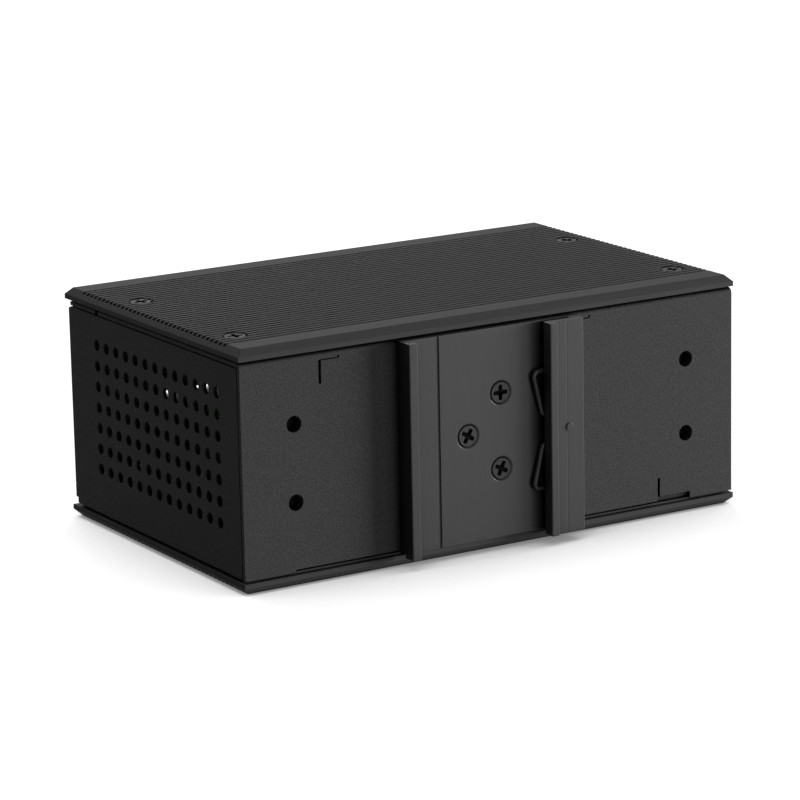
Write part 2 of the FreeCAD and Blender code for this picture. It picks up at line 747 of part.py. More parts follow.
# Bent wire, W shaped: two loops reach out from under the hook, the tails and the middle stay inside it
def build_spring():
    depth = number("%s + wire_size / 2" % lip_back)
    out = number("%s - spring_reach + wire_size / 2" % right_lip_x)
    edge = number(right_lip_x)
    inside = number("%s + spring_inset" % right_lip_x)
    middle = number(rear_middle + " - spring_drop")
    low = number("spring_loop_low")
    high = number("spring_loop_high")
    tail = number("spring_tail")
    half = [(inside, high + tail), (inside, high), (out, high), (edge, low), (inside, low)]
    upper = [FreeCAD.Vector(x, depth, middle + z) for x, z in half]
    lower = [FreeCAD.Vector(x, depth, middle - z) for x, z in reversed(half)]
    path = rounded_path(upper + lower, number("spring_bend"))
    start = upper[0]
    ring = Part.Wire([Part.makeCircle(number("wire_size") / 2, start, upper[1] - upper[0])])
    spring = doc.addObject("Part::Feature", "rail_clip_spring")
    spring.Shape = path.makePipeShell([ring], True, False)
    spring.Placement = FreeCAD.Placement()
    nodes.append(spring)
    return spring


def build_board():
    label = "circuit_board"
    body = body_named(label)
    outline = sketch_on(body, label + "_outline", "XY_Plane", board_low)
    draw_rectangle(outline, "-" + board_right, "-" + board_front, board_right, board_front)
    pad(body, outline, label + "_laminate", "board_thick")
    holes = sketch_on(body, label + "_holes", "XY_Plane", board_top)
    for x, y in board_hole_spots():
        draw_circle(holes, x, y, hole_size)
    pocket(body, holes, label + "_hole_cut")

    build_rings("board_standoffs", "XY_Plane", floor_top, board_hole_spots(), "standoff_size", bore_size,
                "standoff_tall", False)
    build_pan_screws("board_screws", board_hole_spots())


# Pan-head screws in one group: heads on top of the board, shanks through it
def build_pan_screws(label, spots):
    body = body_named(label)
    shanks = sketch_on(body, label + "_shanks", "XY_Plane", "%s - board_screw_length" % board_top)
    heads = sketch_on(body, label + "_heads", "XY_Plane", board_top)
    drives = sketch_on(body, label + "_drives", "XY_Plane", "%s + pan_tall" % board_top)
    for x, y in spots:
        draw_circle(shanks, x, y, "screw_shank")
        draw_circle(heads, x, y, "pan_head")
        draw_cross(drives, x, y, "drive_span", "drive_slot")
    pad(body, shanks, label + "_shank", "board_screw_length")
    pad(body, heads, label + "_head", "pan_tall")
    pocket(body, drives, label + "_drive", "drive_depth")
    return body


# Socket for a copper plug: stamped shell, moulded insert and spring contacts
def build_copper_port():
    x = copper_x
    rear = "(%s - copper_depth)" % port_face
    mouth_low = "(%s + plug_rise)" % board_top
    mouth_high = "(%s + plug_rise + plug_tall)" % board_top

    shell = body_named("copper_port_shell")
    case = sketch_on(shell, "copper_port_shell_case", "XY_Plane", board_top)
    draw_rectangle(case, x + " - copper_width / 2", rear, x + " + copper_width / 2", port_face)
    pad(shell, case, "copper_port_shell_block", "copper_tall")
    roof = "%s + copper_tall - stamped_thick" % board_top
    room = sketch_on(shell, "copper_port_shell_room", "XY_Plane", roof)
    draw_rectangle(room, x + " - copper_width / 2 + stamped_thick", rear + " + stamped_thick",
                   x + " + copper_width / 2 - stamped_thick", port_face + " - stamped_thick")
    pocket(shell, room, "copper_port_shell_room_cut")
    mouth = sketch_on(shell, "copper_port_shell_mouth", "XZ_Plane", "plug_depth - %s" % port_face)
    draw_plug_mouth(mouth, x, mouth_low, mouth_high)
    pocket(shell, mouth, "copper_port_shell_mouth_cut")

    insert = body_named("copper_port_insert")
    core = sketch_on(insert, "copper_port_insert_core", "XY_Plane", board_top)
    margin = "(stamped_thick + thread_gap)"
    draw_rectangle(core, "%s - copper_width / 2 + %s" % (x, margin), "%s + %s" % (rear, margin),
                   "%s + copper_width / 2 - %s" % (x, margin), "%s - %s" % (port_face, margin))
    pad(insert, core, "copper_port_insert_block", "copper_tall - " + margin)
    cavity = sketch_on(insert, "copper_port_insert_cavity", "XZ_Plane", "plug_depth - %s" % port_face)
    draw_plug_mouth(cavity, x, mouth_low, mouth_high)
    pocket(insert, cavity, "copper_port_insert_cavity_cut")

    contacts = body_named("copper_port_contacts")
    pins = sketch_on(contacts, "copper_port_contacts_pins", "XY_Plane", mouth_low)
    pin_rear = "(%s - plug_depth)" % port_face
    for step in range(int(number("contact_count"))):
        pin = "(%s + (%d - (contact_count - 1) / 2) * contact_pitch)" % (x, step)
        draw_rectangle(pins, pin + " - contact_wide / 2", pin_rear, pin + " + contact_wide / 2",
                       pin_rear + " + contact_length")
    pad(contacts, pins, "copper_port_contacts_bars", "contact_tall")


# Mouth of the copper socket with the latch notch above it
def draw_plug_mouth(drawing, x, low, high):
    left = "(%s - plug_width / 2)" % x
    right = "(%s + plug_width / 2)" % x
    latch_left = "(%s - latch_width / 2)" % x
    latch_right = "(%s + latch_width / 2)" % x
    top = "(%s + latch_tall)" % high
    draw_polygon(drawing, [(left, low), (right, low), (right, high), (latch_right, high),
                           (latch_right, top), (latch_left, top), (latch_left, high), (left, high)])


# Cage for a fibre module, open at the front, and the edge connector at its rear
def build_fibre_port():
    x = fibre_x
    rear = "(%s - fibre_depth)" % port_face
    cage = body_named("fibre_port_cage")
    case = sketch_on(cage, "fibre_port_cage_case", "XZ_Plane", "-" + port_face)
    middle = "(%s + fibre_tall / 2)" % board_top
    draw_centred(case, x, middle, "fibre_width", "fibre_tall")
    pad(cage, case, "fibre_port_cage_block", "fibre_depth")
    room = sketch_on(cage, "fibre_port_cage_room", "XZ_Plane", "-(%s + stamped_thick)" % rear)
    draw_centred(room, x, middle, "fibre_width - 2 * stamped_thick", "fibre_tall - 2 * stamped_thick")
    pocket(cage, room, "fibre_port_cage_room_cut")
    connector_front = "(%s + stamped_thick + thread_gap + fibre_connector_length)" % rear
    hatch = sketch_on(cage, "fibre_port_cage_hatch", "XY_Plane", board_top + " + stamped_thick")
    draw_rectangle(hatch, x + " - fibre_connector_width / 2 - thread_gap", rear + " + stamped_thick",
                   x + " + fibre_connector_width / 2 + thread_gap", connector_front + " + thread_gap")
    pocket(cage, hatch, "fibre_port_cage_hatch_cut")

    connector = body_named("fibre_port_connector")
    core = sketch_on(connector, "fibre_port_connector_core", "XY_Plane", board_top)
    draw_rectangle(core, x + " - fibre_connector_width / 2", rear + " + stamped_thick + thread_gap",
                   x + " + fibre_connector_width / 2", connector_front)
    pad(connector, core, "fibre_port_connector_block", "fibre_connector_tall")
    slot_floor = "fibre_slot_deep - %s" % connector_front
    slot = sketch_on(connector, "fibre_port_connector_slot", "XZ_Plane", slot_floor)
    slot_width = "fibre_connector_width - 2 * fibre_slot_tall"
    draw_centred(slot, x, "%s + fibre_connector_tall / 2" % board_top, slot_width, "fibre_slot_tall")
    pocket(connector, slot, "fibre_port_connector_slot_cut")


# Screw terminals: one moulded housing, a clamp in each wire mouth and a screw above it
def build_terminals():
    face = "(%s + terminal_proud)" % front_face
    housing = body_named("terminal_housing")
    core = sketch_on(housing, "terminal_housing_core", "XY_Plane", board_top)
    draw_centred(core, terminal_x, face + " - terminal_depth / 2", poles_width, "terminal_depth")
    pad(housing, core, "terminal_housing_block", "terminal_tall")
    mouths = sketch_on(housing, "terminal_housing_mouths", "XZ_Plane", "wire_mouth_deep - " + face)
    drivers = sketch_on(housing, "terminal_housing_drivers", "XZ_Plane", "driver_deep - " + face)
    clamps = body_named("terminal_clamps")
    tubes = sketch_on(clamps, "terminal_clamps_tubes", "XZ_Plane", "wire_mouth_deep - " + face)
    screws = body_named("terminal_screws")
    heads = sketch_on(screws, "terminal_screws_heads", "XZ_Plane", "driver_deep - " + face)
    slot_floor = "driver_deep - terminal_screw_tall / 2 - " + face
    slots = sketch_on(screws, "terminal_screws_slots", "XZ_Plane", slot_floor)
    mouth_mid = "(%s + wire_mouth_rise + wire_mouth / 2)" % board_top
    driver_mid = "(%s + driver_rise)" % board_top
    tube = "wire_mouth - 2 * thread_gap"
    bore = "wire_mouth - 2 * thread_gap - 2 * clamp_wall"
    head = "(driver_hole - 2 * thread_gap)"
    for step in range(int(number("pole_count"))):
        x = "(%s + (%d - (pole_count - 1) / 2) * pole_pitch)" % (terminal_x, step)
        draw_centred(mouths, x, mouth_mid, "wire_mouth", "wire_mouth")
        draw_circle(drivers, x, driver_mid, "driver_hole")
        draw_centred(tubes, x, mouth_mid, tube, tube)
        draw_centred(tubes, x, mouth_mid, bore, bore)
        draw_circle(heads, x, driver_mid, head)
        draw_centred(slots, x, driver_mid, "driver_hole", "terminal_slot")
    pocket(housing, mouths, "terminal_housing_mouth_cut")
    pocket(housing, drivers, "terminal_housing_driver_cut")
    pad(clamps, tubes, "terminal_clamps_solid", "clamp_length", back=True)
    pad(screws, heads, "terminal_screws_solid", "terminal_screw_tall", back=True)
    pocket(screws, slots, "terminal_screws_slot_cut")


# Clear light guide: a foot on the board and one pipe through the front wall for each light
def build_lights():
    guide = body_named("light_guide")
    block_front = "(%s - sheet_thick - light_block_back)" % front_face
    block_rear = "(%s - light_block_deep)" % block_front
    foot = sketch_on(guide, "light_guide_foot", "XY_Plane", board_top)
    block_middle = "%s + light_block_deep / 2" % block_rear
    draw_centred(foot, light_x, block_middle, "light_block_wide", "light_block_deep")
    pad(guide, foot, "light_guide_block", "light_rise + (light_count - 1 / 2) * light_pitch")
    pipes = sketch_on(guide, "light_guide_pipes", "XZ_Plane", "-" + block_front)
    chips = body_named("light_chips")
    dies = sketch_on(chips, "light_chips_dies", "XY_Plane", board_top)
    for step in range(int(number("light_count"))):
        draw_circle(pipes, light_x, "%s + %d * light_pitch" % (light_low, step), "light_size")
        chip_middle = "(%s - (%d + 1 / 2) * light_chip_pitch)" % (block_rear, step)
        draw_centred(dies, light_x, chip_middle, "light_chip_long", "light_chip_deep")
    pad(guide, pipes, "light_guide_ends", "%s + light_proud - %s" % (front_face, block_front), back=True)
    pad(chips, dies, "light_chips_solid", "light_chip_tall")


def build_ground():
    spot = [("(ground_from - cover_length / 2)", "(case_height / 2)")]
    bore = "(ground_shank + 2 * thread_gap)"
    outside = "-" + front_face
    build_rings("ground_washer", "XZ_Plane", outside, spot, "washer_outside", bore, "washer_thick", True)
    inside = "-(%s - sheet_thick)" % front_face
    build_rings("ground_nut", "XZ_Plane", inside, spot, "washer_outside", bore, "ground_nut_tall", False)
    screw = body_named("ground_screw")
    seat = "(%s + washer_thick)" % front_face
    x, z = spot[0]
    shank = sketch_on(screw, "ground_screw_shank", "XZ_Plane", "-" + seat)
    draw_circle(shank, x, z, "ground_shank")
    pad(screw, shank, "ground_screw_stem", "ground_length")
    head = sketch_on(screw, "ground_screw_head", "XZ_Plane", "-" + seat)
    draw_circle(head, x, z, "ground_head")
    pad(screw, head, "ground_screw_pan", "ground_head_tall", back=True)
    drive = sketch_on(screw, "ground_screw_drive", "XZ_Plane", "drive_depth - %s - ground_head_tall" % seat)
    draw_cross(drive, x, z, "drive_span", "drive_slot")
    pocket(screw, drive, "ground_screw_drive_cut")


# Low corner of a part that stands on the board, measured from its left edge or from its right one
def from_left(across, front):
    return ("%s - %s" % (across, board_right), "%s - %s" % (board_front, front), board_top)


def from_right(across, front):
    return ("%s - %s" % (board_right, across), "%s - %s" % (board_front, front), board_top)


def build_components():
    block("converter_chip", from_right("chip_end", "chip_front"), ("chip_size", "chip_size", "chip_tall"))
    sink = body_named("chip_heat_sink")
    middle_x = "(%s - chip_end + chip_size / 2)" % board_right
    middle_y = "(%s - chip_front + chip_size / 2)" % board_front
    base_low = "(%s + chip_tall)" % board_top
    foot = sketch_on(sink, "chip_heat_sink_foot", "XY_Plane", base_low)
    draw_centred(foot, middle_x, middle_y, "sink_size", "sink_size")
    pad(sink, foot, "chip_heat_sink_plate", "sink_base")
    fin = sketch_on(sink, "chip_heat_sink_fin", "XY_Plane", base_low + " + sink_base")
    draw_centred(fin, middle_x + " - (sink_size - sink_fin) / 2", middle_y, "sink_fin", "sink_size")
    first_fin = pad(sink, fin, "chip_heat_sink_blade", "sink_tall - sink_base")
    fin_pitch = "(sink_size - sink_fin) / (sink_fin_count - 1)"
    repeat(sink, first_fin, "chip_heat_sink_blades", "sink_fin_count", fin_pitch)
    block("line_transformer", from_right("transformer_end", "transformer_front"),
          ("transformer_width", "transformer_depth", "transformer_tall"))

    inductor = body_named("power_inductor")
    core = sketch_on(inductor, "power_inductor_core", "XY_Plane", board_top)
    x, y, _ = from_left("inductor_from", "inductor_front")
    near = ("", " + inductor_corner")
    far = (" + inductor_size", " + inductor_size - inductor_corner")
    draw_polygon(core, [(x + near[1], y + near[0]), (x + far[1], y + near[0]), (x + far[0], y + near[1]),
                        (x + far[0], y + far[1]), (x + far[1], y + far[0]), (x + near[1], y + far[0]),
                        (x + near[0], y + far[1]), (x + near[0], y + near[1])])
    pad(inductor, core, "power_inductor_block", "inductor_tall")

    cans = body_named("filter_capacitors")
    rings = sketch_on(cans, "filter_capacitors_rings", "XY_Plane", board_top)
    x, y, _ = from_left("capacitor_from", "capacitor_front")
    for step in range(int(number("capacitor_count"))):
        draw_circle(rings, "%s + %d * capacitor_pitch" % (x, step), y, "capacitor_size")
    pad(cans, rings, "filter_capacitors_cans", "capacitor_tall")
    block("timing_crystal", from_right("crystal_end", "crystal_front"),
          ("crystal_length", "crystal_width", "crystal_tall"))
    block("surge_fuse", from_left("fuse_from", "fuse_front"), ("fuse_length", "fuse_width", "fuse_tall"))


# Covers and their fasteners: the bottom cover is the top one turned over about +Y
top = build_cover("top_cover")
bind(top, "Placement.Base.z", "case_height")
bottom = build_cover("bottom_cover")
bottom.Placement = FreeCAD.Placement(FreeCAD.Vector(), FreeCAD.Rotation(FreeCAD.Vector(0, 1, 0), 180))
build_sunk_screws("top_cover_screws", "XY_Plane", "case_height", cover_screw_spots())
lower_screws = build_sunk_screws("bottom_cover_screws", "XY_Plane", "0", cover_screw_spots())
lower_screws.Placement = bottom.Placement
build_press_nuts("top_cover_nuts", "XY_Plane", ceiling, cover_screw_spots(), bore_size, True)
build_press_nuts("bottom_cover_nuts", "XY_Plane", floor_top, cover_screw_spots(), bore_size, False)

# Folded sheets, rail clip and what is pressed into the rear wall
build_rear_chassis()
build_front_chassis()
build_rail_clip()
build_spring()
build_sunk_screws("rail_clip_screws", "XZ_Plane", "(-%s)" % plate_face, clip_screw_spots())
nut_wall = "(-%s)" % rear_inner
build_press_nuts("rail_clip_nuts", "XZ_Plane", nut_wall, clip_screw_spots(), bore_size, True)
build_wall_nuts("wall_mount_nuts", nut_wall)

# Electronics
build_board()
build_copper_port()
build_fibre_port()
build_terminals()
build_lights()
build_ground()
build_components()

doc.recompute()
for thing in doc.Objects:
    if "Invalid" in thing.State or "Error" in thing.State:
        raise RuntimeError("%s failed: %s" % (thing.Name, thing.State))
    if thing.TypeId in ("PartDesign::Pocket", "PartDesign::Hole"):
        if thing.Shape.Volume > thing.BaseFeature.Shape.Volume - 1e-6:
            raise RuntimeError("%s cuts nothing" % thing.Name)
for node in nodes:
    if node.Shape.isNull() or not node.Shape.isValid():
        raise RuntimeError("%s has no valid shape" % node.Label)

os.makedirs("parts", exist_ok=True)
for node in nodes:
    node.Shape.exportStep(os.path.join("parts", node.Label + ".step"))
    print(node.Label, len(node.Shape.Solids), "solids", round(node.Shape.Volume, 2), "mm3")
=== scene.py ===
import math
import bmesh
import bpy
import numpy as np
from mathutils import Matrix, Vector


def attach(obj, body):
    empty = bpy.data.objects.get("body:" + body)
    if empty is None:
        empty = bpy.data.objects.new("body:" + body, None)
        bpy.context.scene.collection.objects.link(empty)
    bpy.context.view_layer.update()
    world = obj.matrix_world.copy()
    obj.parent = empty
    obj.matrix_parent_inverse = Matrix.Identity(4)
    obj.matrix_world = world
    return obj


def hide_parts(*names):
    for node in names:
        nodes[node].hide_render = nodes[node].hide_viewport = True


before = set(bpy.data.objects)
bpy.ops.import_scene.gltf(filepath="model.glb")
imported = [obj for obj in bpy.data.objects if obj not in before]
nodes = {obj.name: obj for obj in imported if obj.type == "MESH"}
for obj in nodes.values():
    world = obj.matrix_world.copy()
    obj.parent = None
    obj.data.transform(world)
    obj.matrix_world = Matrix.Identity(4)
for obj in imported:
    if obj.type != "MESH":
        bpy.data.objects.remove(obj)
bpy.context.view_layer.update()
mm = 0.001
print("frame loaded,", len(nodes), "nodes")


def linear(hexColour):  # sRGB hex text to linear RGBA
    parts = np.array([int(hexColour[i:i + 2], 16) for i in (1, 3, 5)]) / 255
    low, high = parts / 12.92, ((parts + 0.055) / 1.055) ** 2.4
    return (*np.where(parts <= 0.04045, low, high).tolist(), 1.0)


def addNode(tree, kind, settings=None, links=None):  # one node with its values and its incoming links
    node = tree.nodes.new(kind)
    for name, value in (settings or {}).items():
        if isinstance(name, int) or name in node.inputs:
            node.inputs[name].default_value = value
        else:
            setattr(node, name, value)
    for name, source in (links or {}).items():
        tree.links.new(source, node.inputs[name])
    return node


# Every finish has one noise, in real millimetres on Object coordinates: "grain" across and, where the
# metal was drawn, "run" along one axis. It moves the colour between two tones, and the roughness and a fine
# bump with it. "edge" is the radius at which edges catch the light. The painted-shade entry is painted
# shade:
# it darkens the colour in joints, gaps and inner corners where shadow falls, and gives how far it reaches,
# the share of open sky at which the colour is darkest and that from which it is unshaded.
noiseSpan = (0.3, 0.7)  # the part of the noise that is spread over the tones and the roughness
seamDark = 0.05  # what is left of the colour where the painted shade is darkest
finishLooks = {
    # polyester powder coat on steel: matt near-black skin with a fine sandy grain, painted shade in its
    # joints
    "blackPowderCoat": {"tones": ("#343434", "#494949"), "grain": 0.3, "rough": (0.55, 0.7), "bump": 0.07,
                        "edge": 0.18, "seam": (2.5, 0.42, 0.82), "shader": {"Specular IOR Level": 0.02}},
    # black anodised extrusion: smoother and more even than the coat, faint draw lines along the length,
    # painted shade in its grooves and joints
    "anodisedCover": {"tones": ("#404040", "#454545"), "grain": 0.3, "run": ("X", 14.0),
                      "rough": (0.45, 0.55), "bump": 0.008, "edge": 0.14, "seam": (1.6, 0.12, 0.36),
                      "shader": {"Specular IOR Level": 0.012}},
    # the same on the clip: darker below, with a satin sheen that lifts its broad faces; painted shade
    # darkens it beside the hooks and in its recesses
    "anodisedClip": {"tones": ("#333333", "#353535"), "grain": 0.3, "run": ("Z", 14.0),
                     "rough": (0.28, 0.32), "bump": 0.005, "edge": 0.16, "seam": (5.0, 0.45, 0.85),
                     "shader": {"Specular IOR Level": 0.28}},
    # black zinc plated screws: satin, with dark drives and painted shade round their heads
    "blackZincSteel": {"tones": ("#3c3c3c", "#484848"), "grain": 0.5, "rough": (0.35, 0.5), "bump": 0.01,
                       "seam": (1.6, 0.3, 0.85), "shader": {"Specular IOR Level": 0.03}},
    # oil-black spring wire: darker than the clip, with a soft line of light along it
    "blackSpringWire": {"tones": ("#101010", "#181818"), "grain": 0.5, "run": ("Z", 6.0),
                        "rough": (0.3, 0.42), "bump": 0.01, "shader": {"Specular IOR Level": 0.25}},
    # bright zinc: bluish white metal, slightly cloudy
    "brightZincSteel": {"tones": ("#b4b8bb", "#cdd0d2"), "grain": 0.9, "rough": (0.26, 0.42), "bump": 0.01,
                        "shader": {"Metallic": 1.0}},
    # tin plated brass sheet of the port shells: pale, with rolling lines
    "tinPlate": {"tones": ("#bdbebc", "#d3d3d0"), "grain": 0.25, "run": ("Y", 12.0), "rough": (0.24, 0.36),
                 "bump": 0.006, "edge": 0.1, "shader": {"Metallic": 1.0}},
    # green solder mask over glass cloth: satin and slightly uneven
    "glassEpoxyBoard": {"tones": ("#08301a", "#0d4123"), "grain": 0.6, "rough": (0.42, 0.55), "bump": 0.01,
                        "shader": {}},
    # moulded nylon of the sockets: dense black with a spark-eroded texture
    "blackNylon": {"tones": ("#141414", "#1f1f1f"), "grain": 0.25, "rough": (0.4, 0.6), "bump": 0.02,
                   "edge": 0.1, "shader": {"IOR": 1.53}},
    # gold flash on the contacts: warm and clean
    "goldFlash": {"tones": ("#c8963c", "#dcae55"), "grain": 0.4, "run": ("Y", 8.0), "rough": (0.18, 0.3),
                  "bump": 0.004, "shader": {"Metallic": 1.0}},
    # green polyamide terminal block: strong colour, moulded satin
    "greenPolyamide": {"tones": ("#1f7038", "#298a47"), "grain": 0.5, "rough": (0.38, 0.52), "bump": 0.015,
                       "edge": 0.2, "shader": {"IOR": 1.53}},
    # clear acrylic light guide: milky window that shows the lamp behind it
    "clearAcrylic": {"tones": ("#dfe6e6", "#f0f4f4"), "grain": 2.0, "rough": (0.1, 0.2), "bump": 0.004,
                     "edge": 0.4, "shader": {"IOR": 1.49, "Transmission Weight": 0.3}},
    # lamp resin over the status chips: pale yellow
    "lampResin": {"tones": ("#d6cf98", "#e6e0b4"), "grain": 0.4, "rough": (0.2, 0.3), "bump": 0.004,
                  "shader": {}},
    # moulded epoxy packages: matt charcoal
    "mouldedEpoxy": {"tones": ("#1a1a1b", "#272728"), "grain": 0.3, "rough": (0.5, 0.65), "bump": 0.02,
                     "shader": {}},
    # extruded heat sink, mill finish: grey with lines along the fins
    "millAluminium": {"tones": ("#b0b2b4", "#c9cbcc"), "grain": 0.3, "run": ("Y", 10.0),
                      "rough": (0.3, 0.42), "bump": 0.008, "shader": {"Metallic": 1.0}},
    # drawn can of the crystal: bright and smooth
    "drawnAluminium": {"tones": ("#c0c2c4", "#d6d7d8"), "grain": 0.5, "run": ("Z", 8.0),
                       "rough": (0.2, 0.3), "bump": 0.004, "shader": {"Metallic": 1.0}},
    # shrunk polyester sleeve of the capacitors: smooth glossy black
    "shrunkSleeve": {"tones": ("#141416", "#1c1c1f"), "grain": 0.8, "rough": (0.3, 0.4), "bump": 0.004,
                     "shader": {}},
    # glazed ceramic fuse body: warm white
    "glazedCeramic": {"tones": ("#d6ccae", "#e5ddc5"), "grain": 0.8, "rough": (0.22, 0.35), "bump": 0.004,
                      "shader": {}},
}


def makeFinish(name, look):
    material = bpy.data.materials.new(name)
    material.use_nodes = True
    tree = material.node_tree
    surface = tree.nodes["Principled BSDF"]
    for socket, value in look["shader"].items():
        surface.inputs[socket].default_value = value
    place = addNode(tree, "ShaderNodeTexCoord").outputs["Object"]
    axis, run = look.get("run", ("", 0))
    scale = [1 / ((run if letter == axis else look["grain"]) * mm) for letter in "XYZ"]
    sized = addNode(tree, "ShaderNodeMapping", {"Scale": scale}, {"Vector": place})
    noise = addNode(tree, "ShaderNodeTexNoise", {"Scale": 1.0, "Detail": 3.0},
                    {"Vector": sized.outputs["Vector"]}).outputs["Fac"]
    tones = addNode(tree, "ShaderNodeValToRGB", {}, {"Fac": noise})
    for stop, spot, tone in zip(tones.color_ramp.elements, noiseSpan, look["tones"]):
        stop.position, stop.color = spot, linear(tone)
    rough = addNode(tree, "ShaderNodeMapRange",
                    {"From Min": noiseSpan[0], "From Max": noiseSpan[1],
                     "To Min": look["rough"][0], "To Max": look["rough"][1]}, {"Value": noise})
    bump = addNode(tree, "ShaderNodeBump", {"Distance": look["bump"] * mm}, {"Height": noise})
    if "edge" in look:
        edge = addNode(tree, "ShaderNodeBevel", {"Radius": look["edge"] * mm, "samples": 6})
        tree.links.new(edge.outputs["Normal"], bump.inputs["Normal"])
    colour = tones.outputs["Color"]
    # painted shade: ambient occlusion darkens the base colour in gaps, recesses and inner corners in place
    # of shadow
    if "seam" in look:
        reach, closed, clear = look["seam"]
        sky = addNode(tree, "ShaderNodeAmbientOcclusion", {"Distance": reach * mm, "samples": 6})
        unshaded = addNode(tree, "ShaderNodeMapRange",
                        {"From Min": closed, "From Max": clear, "To Min": seamDark, "To Max": 1.0},
                        {"Value": sky.outputs["AO"]})
        colour = addNode(tree, "ShaderNodeVectorMath", {"operation": "SCALE"},
                         {"Vector": colour, "Scale": unshaded.outputs["Result"]}).outputs["Vector"]
    tree.links.new(colour, surface.inputs["Base Color"])
    tree.links.new(rough.outputs["Result"], surface.inputs["Roughness"])
    tree.links.new(bump.outputs["Normal"], surface.inputs["Normal"])
    return material


finishes = {name: makeFinish(name, look) for name, look in finishLooks.items()}
nodeFinish = {
    "anodisedCover": ("top_cover", "bottom_cover"),
    "blackPowderCoat": ("rear_chassis", "front_chassis", "rail_clip_nuts", "wall_mount_nuts"),
    "anodisedClip": ("rail_clip",),
    "blackSpringWire": ("rail_clip_spring",),
    "blackZincSteel": ("top_cover_screws", "bottom_cover_screws", "rail_clip_screws"),
    "brightZincSteel": ("top_cover_nuts", "bottom_cover_nuts", "board_standoffs", "board_screws",
                        "terminal_clamps", "terminal_screws", "ground_screw", "ground_washer",
                        "ground_nut"),
    "glassEpoxyBoard": ("circuit_board",),
    "tinPlate": ("copper_port_shell", "fibre_port_cage"),
    "blackNylon": ("copper_port_insert", "fibre_port_connector"),
    "goldFlash": ("copper_port_contacts",),
    "greenPolyamide": ("terminal_housing",),
    "clearAcrylic": ("light_guide",),
    "lampResin": ("light_chips",),
    "mouldedEpoxy": ("converter_chip", "line_transformer", "power_inductor"),
    "millAluminium": ("chip_heat_sink",),
    "drawnAluminium": ("timing_crystal",),
    "shrunkSleeve": ("filter_capacitors",),
    "glazedCeramic": ("surge_fuse",),
}
for finish, names in nodeFinish.items():
    for name in names:
        slots = nodes[name].data.materials
        slots.clear()
        slots.append(finishes[finish])
print("finishes made:", len(finishes))

weld = 1e-7  # metres within which points of a piece become one, which closes its poles
crease = 38  # degrees from which an edge of a piece is sharp


def addPiece(name, points, faces, finish, replaced=()):  # piece in millimetres, on the one body
    mesh = bpy.data.meshes.new(name)
    mesh.from_pydata((points * mm).tolist(), [], faces.tolist())
    work = bmesh.new()
    work.from_mesh(mesh)
    bmesh.ops.remove_doubles(work, verts=work.verts, dist=weld)
    bmesh.ops.recalc_face_normals(work, faces=work.faces)
    work.to_mesh(mesh)
    work.free()
    mesh.polygons.foreach_set("use_smooth", np.ones(len(mesh.polygons), dtype=bool))
    mesh.set_sharp_from_angle(angle=math.radians(crease))
    mesh.materials.append(finishes[finish])
    piece = bpy.data.objects.new(name, mesh)
    bpy.context.scene.collection.objects.link(piece)
    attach(piece, "root")
    if replaced:
        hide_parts(*replaced)


def gridFaces(rows, columns):  # quads of a grid that closes on itself across its columns
    row, column = np.meshgrid(np.arange(rows - 1), np.arange(columns), indexing="ij")
    right = (column + 1) % columns
    quads = np.stack([row * columns + column, (row + 1) * columns + column,
                      (row + 1) * columns + right, row * columns + right], axis=-1)
    return quads.reshape(-1, 4)


def joined(parts):  # several (points, faces) as one
    starts = np.cumsum([0] + [len(points) for points, _ in parts[:-1]])
    allFaces = [faces + start for (_, faces), start in zip(parts, starts)]
    return np.vstack([points for points, _ in parts]), np.vstack(allFaces)


def smoothStep(value):  # 0 to 1 without a kink at either end
    value = np.clip(value, 0, 1)
    return value * value * (3 - 2 * value)


# Cross recess: how far a point of the head is sunk, from its distance to the nearer of two crossed slots
# and along it. The slots widen by "flare" in the middle, and their floor rises outwards by a share of the
# depth, "rise".
crossShape = {"flare": 0.12, "rise": 0.6}


def crossRecess(x, y, drive):
    near, far = np.minimum(abs(x), abs(y)), np.maximum(abs(x), abs(y))
    reach = drive["span"] / 2
    width = drive["slot"] / 2 + crossShape["flare"] * (1 - far / reach).clip(0, 1)
    across = smoothStep((width - near) / drive["soft"] + 0.5)
    along = smoothStep((reach - far) / (2 * drive["soft"]) + 0.5)
    return drive["deep"] * (1 - crossShape["rise"] * far / reach) * across * along


# Turned head as a polar grid: rings run from the middle over the top to the rim and down the profile.
# "top" gives ring radii, "dome" the height of the top at a radius, "skirt" (radius, height) pairs below.
def turnedHead(top, dome, skirt, drive, turn, columns=128):
    angle = np.linspace(0, 2 * np.pi, columns, endpoint=False)
    radius, around = np.meshgrid(top, angle, indexing="ij")
    own = around - math.radians(turn)
    recess = crossRecess(radius * np.cos(own), radius * np.sin(own), drive) if drive else 0
    height = dome(radius) - recess
    below = np.array(skirt)
    radius = np.vstack([radius, np.repeat(below[:, :1], columns, axis=1)])
    height = np.vstack([height, np.repeat(below[:, 1:], columns, axis=1)])
    points = np.stack([radius * np.cos(angle), radius * np.sin(angle), height], axis=-1)
    return points.reshape(-1, 3), gridFaces(len(radius), columns)


# countersunk cross-head screws, sunk a little in their seats so that a dark ring shows round each head;
# fine rings run over the recess to "land" past it, then come a flat band, the rim and the cone
sunkScrew = {"head": 4.4, "sunk": 0.14, "band": 0.25, "rim": 0.08, "round": 0.03, "wall": 0.35,
             "shank": 3.0, "length": 5.95, "tip": 0.4, "land": 0.15, "rings": 40,
             "drive": {"span": 3.1, "slot": 0.72, "deep": 2.0, "soft": 0.09}}
